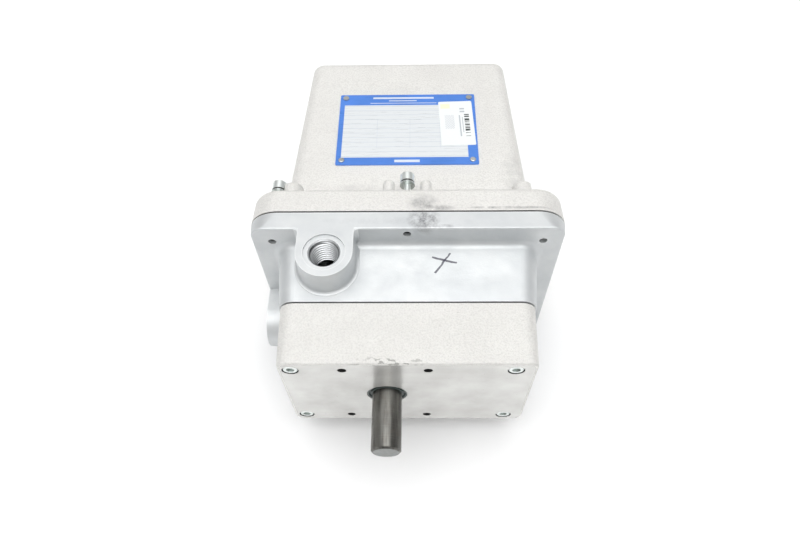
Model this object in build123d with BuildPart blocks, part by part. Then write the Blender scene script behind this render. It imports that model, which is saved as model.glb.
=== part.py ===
from build123d import *
import math
import os

# Quarter-turn electric valve actuator, millimetres.
# The output shaft points along -Y, the casing runs back along +Y, and the nameplate faces +Z.
# The origin is on the output shaft's axis, at the machined mounting face.

# ---- Casing: the casing's centre line stands beside the output shaft ----
case_x = 13.3
gear_case_length = 39.8
gear_case_front_half = (78.8, 46.9)
gear_case_back_half = (80.3, 49.6)
gear_case_corner = 6.5
gear_cavity_half = (72.5, 41.8)
front_wall = 9.0
joint_gasket = 0.8

main_front = gear_case_length + joint_gasket
main_front_half = (81.3, 50.3)
main_back_half = (85.0, 53.3)
main_corner = 11.0
main_cavity_half = (75.0, 46.0)
web_front = 42.0
web_back = 48.0
flange_front = 81.6
flange_back = 94.5
flange_half = (99.8, 70.1)
flange_corner = 8.5

cover_gasket_thickness = 1.2
cover_front = flange_back + cover_gasket_thickness
cover_flange_half = (103.4, 70.1)
cover_flange_corner = 20.0
cover_flange_back = 114.8
cover_flange_back_half = (102.3, 69.3)
cover_box_front_half = (84.3, 51.0)
cover_box_back_half = (76.0, 44.4)
cover_corner = 10.0
cover_back = 263.5
cover_wall = 4.2

# ---- Output shaft and its running surfaces ----
shaft_radius = 9.525
shaft_journal_radius = 9.0
shaft_tip = -38.5
shaft_rear_radius = 7.0
shaft_cam_radius = 5.0
shaft_shoulder = 23.5
shaft_step = 53.0
shaft_end = 85.0
running_gap = 0.04
seal_radius = 13.15
seal_depth = 3.2
bushing_radius = 12.7

# ---- Mounting pattern and casing screws (quarter-inch sizes) ----
mount_spacing = (52.2, 75.0)
tapped_radius = 2.65
cap_screw_x = 10.8
cap_screw_spacing = (136.4, 75.2)
cap_head_radius = 4.75
cap_head_height = 6.35
screw_radius = 3.175
counterbore_radius = 5.2
counterbore_depth = 6.8
column_radius = 8.0
column_back = 53.0
cover_screw_half = (87.1, 56.2)
cover_screw_middle_z = 64.2
cover_screw_head = 123.1
screw_pocket_radius = 5.6

# ---- Conduit entries (half-inch pipe) ----
conduit_y = 64.8
conduit_top_x = -37.8
conduit_side_z = -22.5
conduit_boss_radius = 17.8
conduit_spot_radius = 13.2
conduit_spot_depth = 1.5
conduit_bore_radius = 10.3
conduit_side_face = case_x - flange_half[0]

# ---- Gear train: output gear, intermediate cluster, idler cluster, motor pinion ----
pressure_angle = math.radians(20)
output_teeth, output_module = 60, 1.25
intermediate_pinion_teeth = 15
intermediate_teeth, intermediate_module = 54, 1.0
idler_pinion_teeth = 12
idler_teeth, idler_module = 48, 0.8
motor_pinion_teeth = 12
pot_drive_teeth, pot_teeth, pot_module = 32, 20, 1.0
wheel_addendum = 0.75
pinion_addendum = 1.0
tooth_backlash = 0.07

intermediate_angle = math.radians(16)
motor_angle_from_intermediate = math.radians(-65)
motor_distance = 16.5


def spacing(teeth, pinion_teeth, module):
    """Centre distance of a meshing pair."""
    return module * (teeth + pinion_teeth) / 2


def from_point(point, distance, angle):
    """Point at a distance and angle in the X-Z plane."""
    return (point[0] + distance * math.cos(angle), point[1] + distance * math.sin(angle))


def meeting_point(first, first_distance, second, second_distance):
    """Point at given distances from two others, on the clockwise side of the line joining them."""
    span = math.dist(first, second)
    along = (first_distance**2 - second_distance**2 + span**2) / (2 * span)
    across = math.sqrt(first_distance**2 - along**2)
    ux = (second[0] - first[0]) / span
    uz = (second[1] - first[1]) / span
    return (first[0] + along * ux + across * uz, first[1] + along * uz - across * ux)


output_axis = (0.0, 0.0)
output_distance = spacing(output_teeth, intermediate_pinion_teeth, output_module)
intermediate_axis = from_point(output_axis, output_distance, intermediate_angle)
motor_axis = from_point(intermediate_axis, motor_distance, motor_angle_from_intermediate)
idler_axis = meeting_point(
    intermediate_axis,
    spacing(intermediate_teeth, idler_pinion_teeth, intermediate_module),
    motor_axis,
    spacing(idler_teeth, motor_pinion_teeth, idler_module),
)
pot_axis = (-spacing(pot_drive_teeth, pot_teeth, pot_module), 0.0)

output_gear_y = (10.2, 20.2)
intermediate_wheel_y = (22.0, 28.0)
idler_wheel_y = (30.0, 34.0)
pot_gear_y = (53.6, 57.6)

# ---- Motor ----
motor_radius = 33.0
motor_back = 128.0
motor_bell = 12.0
motor_shaft_radius = 3.97
pinion_seat_radius = 2.5
motor_bolt_radius = 27.5
rotor_radius = 20.0

# ---- Cams, switches and potentiometer ----
cam_lobe_radius = 13.0
cam_base_radius = 10.5
cam_width = 5.0
cam_hub_radius = 8.0
cam_hub_length = 4.2
set_screw_radius = 1.5
cam_fronts = (62.0, 73.0)
switch_size = (27.8, 10.3, 15.9)
switch_bottom = 20.6
switch_hole_offset = (11.1, 5.15)
switch_screw_radius = 1.5
lever_pivot = (-11.0, 19.3)
roller_centre = (4.0, 15.4)
roller_radius = 2.4
pot_bracket_front = 61.7
pot_body_radius = 11.0
pot_shaft_radius = 3.17
switch_bracket_points = [(-10.0, 34.0), (10.0, 34.0)]
pot_bracket_points = [(-47.0, 0.0)]

# ---- Chassis plate, terminal strip and capacitor ----
plate_front = 100.0
plate_thickness = 1.6
plate_x = (-55.0, 24.0)
plate_half_z = 43.0
standoff_points = [(-42.0, -37.0), (-42.0, 37.0), (18.6, -38.4), (18.6, 38.4)]
pan_screw_radius = 2.0
ground_point = (-48.0, 20.0)
terminal_count = 6
terminal_pitch = 8.4
terminal_strip_x = -40.0
terminal_strip_length = 65.6
terminal_base_back = 109.0
terminal_head = 2.4
terminal_strip_points = [(terminal_strip_x, -29.9), (terminal_strip_x, 29.9)]
terminal_points = [
    (terminal_strip_x + side * 6.0, (index + 0.5 - terminal_count / 2) * terminal_pitch)
    for side in (-1, 1)
    for index in range(terminal_count)
]
capacitor_axis = (-4.0, 14.0)
capacitor_radius = 16.0
capacitor_back = 168.0
capacitor_tab_z = [(index + 0.5) * terminal_pitch for index in range(2)]
clamp_point = (-4.0, -9.5)
plate_screw_points = terminal_strip_points + [clamp_point]
lead_radius = 1.2
lead_x = terminal_strip_x + 6.0
motor_lead_z = [-(index + 0.5) * terminal_pitch for index in range(3)]

# ---- Nameplate and label ----
nameplate_x = 12.8
plate_width = 101.6
nameplate_length = 72.4
nameplate_front = 151.2
nameplate_thickness = 0.8
pin_offsets = [(-46.6, -32.0), (46.6, -32.0), (-46.6, 32.0), (46.6, 32.0)]
label_size = (25.0, 46.0)
label_centre = (49.3, 192.4)
label_turn = 2.0


def facing_front(y, x=0.0, z=0.0):
    """Sketch plane at depth y: local x is +X, local y is +Z, normal towards -Y."""
    return Plane(origin=(x, y, z), x_dir=(1, 0, 0), z_dir=(0, -1, 0))


def outline(y, half, corner):
    """Rounded rectangle about the casing's centre line at depth y."""
    with BuildSketch(facing_front(y, case_x)) as profile:
        RectangleRounded(2 * half[0], 2 * half[1], corner)
    return profile.sketch


def bar(front, back, radius, at=(0.0, 0.0), mode=Mode.ADD):
    """Round bar, or bore when subtracted, parallel to Y between two depths."""
    with Locations((at[0], (front + back) / 2, at[1])):
        Cylinder(radius, back - front, rotation=(90, 0, 0), mode=mode)


def block(x_span, y_span, z_span, mode=Mode.ADD):
    """Rectangular block between two planes in each direction."""
    centre = [(span[0] + span[1]) / 2 for span in (x_span, y_span, z_span)]
    size = [span[1] - span[0] for span in (x_span, y_span, z_span)]
    with Locations(tuple(centre)):
        Box(*size, mode=mode)


def hexagon(front, back, across_flats, at=(0.0, 0.0), mode=Mode.ADD):
    """Hexagonal bar, or socket when subtracted, parallel to Y."""
    with BuildSketch(facing_front(front, at[0], at[1])) as profile:
        RegularPolygon(across_flats / 2, 6, major_radius=False)
    extrude(profile.sketch, amount=front - back, mode=mode)


def corners(spacing_xz, centre_x=0.0):
    """Four points of a rectangle, as (x, z) pairs."""
    half_x, half_z = spacing_xz[0] / 2, spacing_xz[1] / 2
    return [(centre_x + sx * half_x, sz * half_z) for sx in (-1, 1) for sz in (-1, 1)]


cap_screw_points = corners(cap_screw_spacing, cap_screw_x)
mounting_points = corners(mount_spacing)
cover_corner_points = corners((2 * cover_screw_half[0], 2 * cover_screw_half[1]), case_x)
cover_middle_points = [(case_x, cover_screw_middle_z), (case_x, -cover_screw_middle_z)]
cover_screw_points = cover_corner_points + cover_middle_points
open_screw_point = max(cover_corner_points)
fitted_screw_points = [point for point in cover_screw_points if point != open_screw_point]


def save(builder, name):
    """Label a finished piece and write its STEP file."""
    builder.part.label = name
    export_step(builder.part, f"parts/{name}.step")


os.makedirs("parts", exist_ok=True)

# ==== Gear housing: drafted casting, open at the back, with a machined front face ====
with BuildPart() as gear_housing:
    loft(
        [
            outline(0, gear_case_front_half, gear_case_corner),
            outline(gear_case_length, gear_case_back_half, main_corner - 1),
        ]
    )
    fillet(gear_housing.faces().sort_by(Axis.Y)[0].edges(), 2.0)
    extrude(outline(front_wall, gear_cavity_half, 8.0), amount=front_wall - gear_case_length, mode=Mode.SUBTRACT)
    for point in cap_screw_points:
        bar(front_wall - 1, gear_case_length, column_radius, point)
    for point in mounting_points:
        bar(front_wall - 1, 17.0, 5.8, point)
    bar(front_wall - 1, 9.6, 16.0)
    bar(front_wall - 1, 9.6, 9.0, intermediate_axis)
    bar(0, seal_depth, seal_radius, mode=Mode.SUBTRACT)
    bar(0, 9.6, bushing_radius, mode=Mode.SUBTRACT)
    bar(3.0, 9.6, 6.5, intermediate_axis, Mode.SUBTRACT)
    for point in cap_screw_points:
        bar(0, counterbore_depth, counterbore_radius, point, Mode.SUBTRACT)
        bar(0, gear_case_length, screw_radius + 0.2, point, Mode.SUBTRACT)
    for point in mounting_points:
        bar(0, 14.0, tapped_radius, point, Mode.SUBTRACT)
    mouths = gear_housing.faces().sort_by(Axis.Y)[0].inner_wires().edges()
    chamfer(mouths.filter_by(lambda edge: abs(edge.radius - tapped_radius) < 0.01), 0.25)
save(gear_housing, "gear_housing")

with BuildPart() as gear_housing_gasket:
    extrude(outline(gear_case_length, (80.0, 49.3), 10.0), amount=-joint_gasket)
    extrude(outline(gear_case_length, (73.5, 42.8), 8.0), amount=-joint_gasket, mode=Mode.SUBTRACT)
    for point in cap_screw_points:
        bar(gear_case_length, main_front, column_radius, point)
        bar(gear_case_length, main_front, screw_radius + 0.2, point, Mode.SUBTRACT)
save(gear_housing_gasket, "gear_housing_gasket")

# ==== Main housing: drafted walls, web with bearing seats, wide cover flange, two conduit bosses ====
with BuildPart() as main_housing:
    loft(
        [
            outline(main_front, main_front_half, main_corner),
            outline(flange_front + 1, main_back_half, main_corner + 1),
        ]
    )
    loft(
        [
            outline(flange_front, flange_half, flange_corner),
            outline(flange_back, cover_flange_half, cover_flange_corner),
        ]
    )
    step_face = main_housing.faces().filter_by(Axis.Y).sort_by(Axis.Y)[1]
    fillet(step_face.inner_wires().edges(), 4.5)
    fillet(main_housing.faces().filter_by(Axis.Y).sort_by(Axis.Y)[1].outer_wire().edges(), 1.2)
    with BuildSketch(Plane.XY.offset(flange_half[1])) as top_boss:
        with Locations((conduit_top_x, conduit_y)):
            Circle(conduit_boss_radius)
        with Locations((conduit_top_x, (conduit_y + flange_back - 4) / 2)):
            Rectangle(2 * conduit_boss_radius, flange_back - 4 - conduit_y)
    extrude(amount=main_cavity_half[1] - flange_half[1], taper=-1.5)
    with BuildSketch(Plane.YZ.offset(conduit_side_face)) as side_boss:
        with Locations((conduit_y, conduit_side_z)):
            Circle(conduit_boss_radius)
        with Locations(((conduit_y + flange_back - 4) / 2, conduit_side_z)):
            Rectangle(flange_back - 4 - conduit_y, 2 * conduit_boss_radius)
    extrude(amount=case_x - main_cavity_half[0] - conduit_side_face, taper=-1.5)
    extrude(outline(web_back, main_cavity_half, 8.0), amount=web_back - flange_back, mode=Mode.SUBTRACT)
    extrude(outline(main_front, (74.0, 43.0), 8.0), amount=main_front - web_front, mode=Mode.SUBTRACT)
    for point in cap_screw_points:
        bar(main_front, column_back, column_radius, point)
    bar(web_back - 1, 52.6, 14.5)
    bar(web_front, 52.6, 10.0, mode=Mode.SUBTRACT)
    bar(web_front, web_back, 6.5, intermediate_axis, Mode.SUBTRACT)
    bar(web_front, web_back, 3.0, idler_axis, Mode.SUBTRACT)
    bar(web_front, web_back, 7.5, motor_axis, Mode.SUBTRACT)
    for point in cap_screw_points:
        bar(main_front, column_back - 0.5, screw_radius + 0.025, point, Mode.SUBTRACT)
    for point in cover_screw_points:
        bar(flange_front, flange_back, tapped_radius, point, Mode.SUBTRACT)
    for point in standoff_points + switch_bracket_points + pot_bracket_points + [ground_point]:
        bar(web_front, web_back, pan_screw_radius + 0.05, point, Mode.SUBTRACT)
    with Locations(Location((conduit_top_x, conduit_y, flange_half[1]))):
        CounterBoreHole(conduit_bore_radius, conduit_spot_radius, conduit_spot_depth, 26.0)
    with Locations(Location((conduit_side_face, conduit_y, conduit_side_z), (0, -90, 0))):
        CounterBoreHole(conduit_bore_radius, conduit_spot_radius, conduit_spot_depth, 26.0)
save(main_housing, "main_housing")

with BuildPart() as cover_gasket:
    gasket_half = (cover_flange_half[0] - 0.5, cover_flange_half[1] - 0.5)
    extrude(outline(flange_back, gasket_half, cover_flange_corner), amount=-cover_gasket_thickness)
    cavity = outline(flange_back, main_cavity_half, 8.0)
    extrude(cavity, amount=-cover_gasket_thickness, mode=Mode.SUBTRACT)
    for point in cover_screw_points:
        bar(flange_back, cover_front, screw_radius + 0.2, point, Mode.SUBTRACT)
save(cover_gasket, "cover_gasket")

# ==== Cover: deep drafted box on a matching flange, with cast cheeks beside each captive screw ====
lug_back = 127.0


def cheek(x, z_inner, z_outer, half_width):
    """Cast cheek standing off the cover wall, with a rounded outer edge and rounded end."""
    sign = math.copysign(1, z_outer)
    span = abs(z_outer - z_inner)
    with BuildSketch(facing_front(cover_flange_back - 1, x, z_inner)) as profile:
        with Locations((0, sign * (span - half_width) / 2)):
            Rectangle(2 * half_width, span - half_width)
        with Locations((0, sign * (span - half_width))):
            Circle(half_width)
    extrude(profile.sketch, amount=cover_flange_back - 1 - lug_back, taper=3)


with BuildPart() as cover:
    loft(
        [
            outline(cover_flange_back - 1, cover_box_front_half, cover_corner),
            outline(cover_back, cover_box_back_half, cover_corner - 1),
        ]
    )
    fillet(cover.faces().sort_by(Axis.Y)[-1].edges(), 6.0)
    loft(
        [
            outline(cover_front, cover_flange_half, cover_flange_corner),
            outline(cover_flange_back, cover_flange_back_half, cover_flange_corner - 0.5),
        ]
    )
    rim = cover.faces().filter_by(Axis.Y).sort_by(Axis.Y)[1]
    fillet(rim.outer_wire().edges(), 3.5)
    fillet(cover.faces().filter_by(Axis.Y).sort_by(Axis.Y)[1].inner_wires().edges(), 3.0)
    for side in (-1, 1):
        for offset in (-12.4, 12.4):
            cheek(case_x + offset, side * 49.0, side * 64.5, 4.4)
        for end in (-1, 1):
            cheek(case_x + end * 77.5, side * 42.0, side * 62.5, 7.5)
    cheek_ends = cover.faces().filter_by(Axis.Y).filter_by_position(Axis.Y, lug_back - 0.1, lug_back + 0.1)
    fillet(cheek_ends.edges().filter_by(lambda edge: abs(edge.center().Z) > 52.5), 2.0)
    loft(
        [
            outline(cover_front, (main_cavity_half[0], main_cavity_half[1] + 0.2), 8.0),
            outline(
                cover_back - cover_wall,
                (cover_box_back_half[0] - cover_wall, cover_box_back_half[1] - cover_wall),
                6.0,
            ),
        ],
        mode=Mode.SUBTRACT,
    )
    for point in cover_corner_points:
        bar(cover_flange_back, lug_back + 1, screw_pocket_radius, point, Mode.SUBTRACT)
    for point in cover_screw_points:
        bar(cover_front, cover_flange_back, screw_radius + 0.2, point, Mode.SUBTRACT)
save(cover, "cover")


# ==== Casing screws ====
def socket_screw(head_front, point, shank, direction):
    """Socket-head cap screw: direction +1 drives it along +Y, -1 along -Y."""
    head_back = head_front + direction * cap_head_height
    bar(min(head_front, head_back), max(head_front, head_back), cap_head_radius, point)
    socket = head_front + direction * 3.2
    hexagon(min(head_front, socket), max(head_front, socket), 4.76, point, Mode.SUBTRACT)
    for start, end, radius in shank:
        bar(min(start, end), max(start, end), radius, point)


with BuildPart() as corner_cap_screws:
    for point in cap_screw_points:
        socket_screw(0.35, point, [(0.35 + cap_head_height, column_back - 1.5, screw_radius)], 1)
    rims = corner_cap_screws.faces().group_by(Axis.Y)[0].edges()
    chamfer(rims.filter_by(GeomType.CIRCLE), 0.5)
save(corner_cap_screws, "corner_cap_screws")

with BuildPart() as cover_screws:
    for point in fitted_screw_points:
        socket_screw(
            cover_screw_head + cap_head_height,
            point,
            [(cover_screw_head, 101.0, 2.4), (101.0, 84.0, tapped_radius - 0.04)],
            -1,
        )
    rims = cover_screws.faces().group_by(Axis.Y)[-1].edges()
    chamfer(rims.filter_by(GeomType.CIRCLE), 0.5)
save(cover_screws, "cover_screws")


def ring(front, back, inner, outer, at=(0.0, 0.0)):
    """Plain ring around an axis parallel to Y."""
    with BuildSketch(facing_front(front, at[0], at[1])) as profile:
        Circle(outer)
        Circle(inner, mode=Mode.SUBTRACT)
    extrude(profile.sketch, amount=front - back)


with BuildPart() as cover_screw_seals:
    for point in fitted_screw_points:
        ring(cover_screw_head - 1.3, cover_screw_head - 0.02, 2.45, 4.6, point)
save(cover_screw_seals, "cover_screw_seals")

with BuildPart() as cover_screw_washers:
    for point in fitted_screw_points:
        ring(cover_screw_head - 2.4, cover_screw_head - 1.32, 2.45, 5.0, point)
save(cover_screw_washers, "cover_screw_washers")

# ==== Shaft seal and bushings ====
with BuildPart() as shaft_seal:
    ring(0.4, seal_depth - 0.02, shaft_journal_radius + running_gap, seal_radius - 0.01)
    with BuildSketch(facing_front(0.4)) as groove:
        Circle(12.0)
        Circle(10.6, mode=Mode.SUBTRACT)
    extrude(groove.sketch, amount=-1.2, mode=Mode.SUBTRACT)
save(shaft_seal, "shaft_seal")

with BuildPart() as front_bushing:
    ring(seal_depth, 9.6, shaft_journal_radius + running_gap, bushing_radius)
save(front_bushing, "front_bushing")

with BuildPart() as rear_bushing:
    ring(web_front - 0.6, 52.6, shaft_rear_radius + running_gap, 10.0)
save(rear_bushing, "rear_bushing")

with BuildPart() as intermediate_bushes:
    ring(3.1, 9.6, 4.0 + running_gap, 6.5, intermediate_axis)
    ring(web_front, web_back, 4.0 + running_gap, 6.5, intermediate_axis)
save(intermediate_bushes, "intermediate_bushes")

with BuildPart() as idler_stub_shaft:
    bar(20.7, web_back - 0.2, 3.0, idler_axis)
    with BuildSketch(facing_front(21.1, *idler_axis)) as groove:
        Circle(3.5)
        Circle(2.5, mode=Mode.SUBTRACT)
    extrude(groove.sketch, amount=-0.6, mode=Mode.SUBTRACT)
save(idler_stub_shaft, "idler_stub_shaft")

with BuildPart() as idler_retaining_ring:
    ring(21.15, 21.65, 2.52, 5.2, idler_axis)
    opening = (idler_axis[0] - 7, idler_axis[0])
    block(opening, (21, 22), (idler_axis[1] - 2, idler_axis[1] + 2), Mode.SUBTRACT)
save(idler_retaining_ring, "idler_retaining_ring")


# ==== Gears ====
def involute(angle):
    """Involute function."""
    return math.tan(angle) - angle


def gear_outline(y, axis, teeth, module, addendum, turn):
    """Spur gear profile at depth y, with a tooth centred at the angle turn (degrees) from +X."""
    pitch = module * teeth / 2
    base = pitch * math.cos(pressure_angle)
    root = pitch - 1.25 * module
    tip = pitch + addendum * module
    start = max(base, root + 0.02 * module)
    half_pitch = math.pi / (2 * teeth) - tooth_backlash * module / (2 * pitch)

    def half_angle(radius):
        return half_pitch + involute(pressure_angle) - involute(math.acos(base / max(radius, base)))

    def point(radius, angle):
        return (radius * math.cos(angle), radius * math.sin(angle))

    middle = (start + tip) / 2
    with BuildSketch(facing_front(y, *axis)) as profile:
        with BuildLine():
            for index in range(teeth):
                centre = math.radians(turn) + index * 2 * math.pi / teeth
                after = centre + 2 * math.pi / teeth
                flank = half_angle(start)
                Line(point(root, centre - flank), point(start, centre - flank))
                ThreePointArc(
                    point(start, centre - flank),
                    point(middle, centre - half_angle(middle)),
                    point(tip, centre - half_angle(tip)),
                )
                ThreePointArc(
                    point(tip, centre - half_angle(tip)),
                    point(tip, centre),
                    point(tip, centre + half_angle(tip)),
                )
                ThreePointArc(
                    point(tip, centre + half_angle(tip)),
                    point(middle, centre + half_angle(middle)),
                    point(start, centre + flank),
                )
                Line(point(start, centre + flank), point(root, centre + flank))
                ThreePointArc(
                    point(root, centre + flank),
                    point(root, (centre + after) / 2),
                    point(root, after - flank),
                )
        make_face()
    return profile.sketch


def gear(span, axis, teeth, module, addendum, turn):
    """Solid spur gear between two depths."""
    extrude(gear_outline(span[0], axis, teeth, module, addendum, turn), amount=span[0] - span[1])


def direction(start, end):
    """Angle in degrees from one axis to another in the X-Z plane."""
    return math.degrees(math.atan2(end[1] - start[1], end[0] - start[0]))


def gap_turn(start, end, teeth):
    """Turn that gives a gear at end a tooth gap facing start."""
    return direction(end, start) + 180 / teeth


with BuildPart() as output_gear:
    turn = direction(output_axis, intermediate_axis)
    gear(output_gear_y, output_axis, output_teeth, output_module, wheel_addendum, turn)
    for face_span in ((output_gear_y[0], output_gear_y[0] + 2.5), (output_gear_y[1] - 2.5, output_gear_y[1])):
        with BuildSketch(facing_front(face_span[0])) as recess:
            Circle(31.0)
            Circle(16.0, mode=Mode.SUBTRACT)
        extrude(recess.sketch, amount=face_span[0] - face_span[1], mode=Mode.SUBTRACT)
    bar(output_gear_y[0], output_gear_y[1], shaft_journal_radius + 0.01, mode=Mode.SUBTRACT)
    block((-2.4, 2.4), output_gear_y, (0, shaft_journal_radius + 2.4), Mode.SUBTRACT)
save(output_gear, "output_gear")

with BuildPart() as output_gear_key:
    block((-2.38, 2.38), (output_gear_y[0] + 0.1, output_gear_y[1] - 0.1), (shaft_journal_radius - 2.4, shaft_journal_radius + 2.3))
save(output_gear_key, "output_gear_key")

with BuildPart() as output_shaft:
    bar(shaft_tip, 0, shaft_radius)
    chamfer(output_shaft.edges().group_by(Axis.Y)[0], 1.2)
    bar(0, shaft_shoulder, shaft_journal_radius)
    bar(shaft_shoulder, shaft_step, shaft_rear_radius)
    bar(shaft_step, shaft_end, shaft_cam_radius)
    chamfer(output_shaft.edges().group_by(Axis.Y)[-1], 0.6)
    key_depth = shaft_journal_radius - 2.42
    block((-2.4, 2.4), output_gear_y, (key_depth, shaft_radius + 1), Mode.SUBTRACT)
    with BuildSketch(facing_front(output_gear_y[1] + 0.1)) as groove:
        Circle(shaft_journal_radius + 1)
        Circle(shaft_journal_radius - 0.7, mode=Mode.SUBTRACT)
    extrude(groove.sketch, amount=-1.2, mode=Mode.SUBTRACT)
save(output_shaft, "output_shaft")

with BuildPart() as shaft_retaining_ring:
    ring(output_gear_y[1] + 0.15, output_gear_y[1] + 1.2, shaft_journal_radius - 0.65, shaft_journal_radius + 2.6)
    block((-2, 2), (output_gear_y[1], output_gear_y[1] + 2), (-14, 0), Mode.SUBTRACT)
save(shaft_retaining_ring, "shaft_retaining_ring")

# Intermediate cluster: pinion cut on its shaft, wheel pressed on.
with BuildPart() as intermediate_shaft:
    bar(3.4, web_back - 0.5, 4.0, intermediate_axis)
    turn = gap_turn(output_axis, intermediate_axis, intermediate_pinion_teeth)
    gear(output_gear_y, intermediate_axis, intermediate_pinion_teeth, output_module, pinion_addendum, turn)
    bar(output_gear_y[1], intermediate_wheel_y[0], 6.5, intermediate_axis)
save(intermediate_shaft, "intermediate_shaft")

with BuildPart() as intermediate_wheel:
    turn = direction(intermediate_axis, idler_axis)
    gear(intermediate_wheel_y, intermediate_axis, intermediate_teeth, intermediate_module, wheel_addendum, turn)
    bar(intermediate_wheel_y[1], intermediate_wheel_y[1] + 4, 8.0, intermediate_axis)
    for angle in range(0, 360, 60):
        spot = from_point(intermediate_axis, 16.5, math.radians(angle))
        bar(intermediate_wheel_y[0], intermediate_wheel_y[1], 4.5, spot, Mode.SUBTRACT)
    bar(intermediate_wheel_y[0], intermediate_wheel_y[1] + 4, 4.01, intermediate_axis, Mode.SUBTRACT)
save(intermediate_wheel, "intermediate_wheel")

# Idler cluster: pinion with a long hub that carries the wheel, turning on the stub shaft.
with BuildPart() as idler_pinion:
    turn = gap_turn(intermediate_axis, idler_axis, idler_pinion_teeth)
    pinion_span = (intermediate_wheel_y[0], intermediate_wheel_y[1] + 0.6)
    gear(pinion_span, idler_axis, idler_pinion_teeth, intermediate_module, pinion_addendum, turn)
    bar(pinion_span[1], idler_wheel_y[1] + 0.4, 4.6, idler_axis)
    bar(pinion_span[0], idler_wheel_y[1] + 0.4, 3.0 + running_gap, idler_axis, Mode.SUBTRACT)
save(idler_pinion, "idler_pinion")

with BuildPart() as idler_wheel:
    turn = direction(idler_axis, motor_axis)
    gear(idler_wheel_y, idler_axis, idler_teeth, idler_module, wheel_addendum, turn)
    bar(idler_wheel_y[0], idler_wheel_y[1], 4.61, idler_axis, Mode.SUBTRACT)
    for angle in range(0, 360, 72):
        spot = from_point(idler_axis, 11.5, math.radians(angle))
        bar(idler_wheel_y[0], idler_wheel_y[1], 3.2, spot, Mode.SUBTRACT)
save(idler_wheel, "idler_wheel")

# ==== Motor ====
motor_bolt_points = [from_point(motor_axis, motor_bolt_radius, math.radians(a)) for a in (45, 135, 225, 315)]
bell_front = web_back
case_front = bell_front + motor_bell
case_back = motor_back - motor_bell

with BuildPart() as motor_front_bell:
    bar(bell_front, case_front, motor_radius, motor_axis)
    fillet(motor_front_bell.edges().group_by(Axis.Y)[0], 2.0)
    bar(web_front, bell_front, 7.45, motor_axis)
    bar(web_front, case_front, motor_shaft_radius + 1.0, motor_axis, Mode.SUBTRACT)
    bar(bell_front + 4, case_front, 11.0, motor_axis, Mode.SUBTRACT)
    for point in motor_bolt_points:
        bar(bell_front, case_front, 1.9, point, Mode.SUBTRACT)
save(motor_front_bell, "motor_front_bell")

with BuildPart() as motor_case:
    ring(case_front, case_back, motor_radius - 1.6, motor_radius - 0.4, motor_axis)
save(motor_case, "motor_case")

with BuildPart() as motor_stator:
    ring(case_front + 8, case_back - 8, rotor_radius + 0.6, motor_radius - 1.65, motor_axis)
    ring(case_front + 1, case_back - 1, rotor_radius + 1.5, 25.2, motor_axis)
    for point in motor_bolt_points:
        bar(case_front, case_back, 2.0, point, Mode.SUBTRACT)
save(motor_stator, "motor_stator")

with BuildPart() as motor_rear_bell:
    bar(case_back, motor_back, motor_radius, motor_axis)
    fillet(motor_rear_bell.edges().group_by(Axis.Y)[-1], 3.0)
    bar(case_back, motor_back - 4, 11.0, motor_axis, Mode.SUBTRACT)
    for point in motor_bolt_points:
        bar(case_back, motor_back, 1.9, point, Mode.SUBTRACT)
save(motor_rear_bell, "motor_rear_bell")

with BuildPart() as motor_bearings:
    for front in (bell_front + 4.2, motor_back - 4.2 - 5.0):
        ring(front, front + 5.0, motor_shaft_radius + 0.03, 10.95, motor_axis)
save(motor_bearings, "motor_bearings")

with BuildPart() as motor_through_bolts:
    for point in motor_bolt_points:
        bar(bell_front + 0.2, motor_back, 1.85, point)
        hexagon(motor_back + 0.02, motor_back + 2.6, 6.0, point)
        bar(motor_back - 0.5, motor_back + 1, 1.85, point)
save(motor_through_bolts, "motor_through_bolts")

with BuildPart() as motor_shaft:
    bar(idler_wheel_y[0] - 0.4, idler_wheel_y[1] + 1.2, pinion_seat_radius, motor_axis)
    bar(idler_wheel_y[1] + 1.2, motor_back - 4.1, motor_shaft_radius - 0.01, motor_axis)
save(motor_shaft, "motor_shaft")

with BuildPart() as motor_rotor:
    ring(case_front + 6, case_back - 6, motor_shaft_radius, rotor_radius, motor_axis)
save(motor_rotor, "motor_rotor")

with BuildPart() as motor_pinion:
    pinion_span = (idler_wheel_y[0] - 0.3, idler_wheel_y[1] + 1.0)
    turn = gap_turn(idler_axis, motor_axis, motor_pinion_teeth)
    gear(pinion_span, motor_axis, motor_pinion_teeth, idler_module, pinion_addendum, turn)
    bar(pinion_span[0], pinion_span[1], pinion_seat_radius + 0.01, motor_axis, Mode.SUBTRACT)
save(motor_pinion, "motor_pinion")

# ==== Limit cams and feedback gear on the rear of the output shaft ====
with BuildPart() as pot_drive_gear:
    turn = direction(output_axis, pot_axis)
    gear(pot_gear_y, output_axis, pot_drive_teeth, pot_module, wheel_addendum, turn)
    bar(pot_gear_y[1], pot_gear_y[1] + 3.8, cam_hub_radius)
    bar(pot_gear_y[0], pot_gear_y[1] + 3.8, shaft_cam_radius + 0.01, mode=Mode.SUBTRACT)
    with Locations((6.5, pot_gear_y[1] + 2.0, 0)):
        Cylinder(set_screw_radius + 0.03, 3.4, rotation=(0, 90, 0), mode=Mode.SUBTRACT)
save(pot_drive_gear, "pot_drive_gear")


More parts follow.
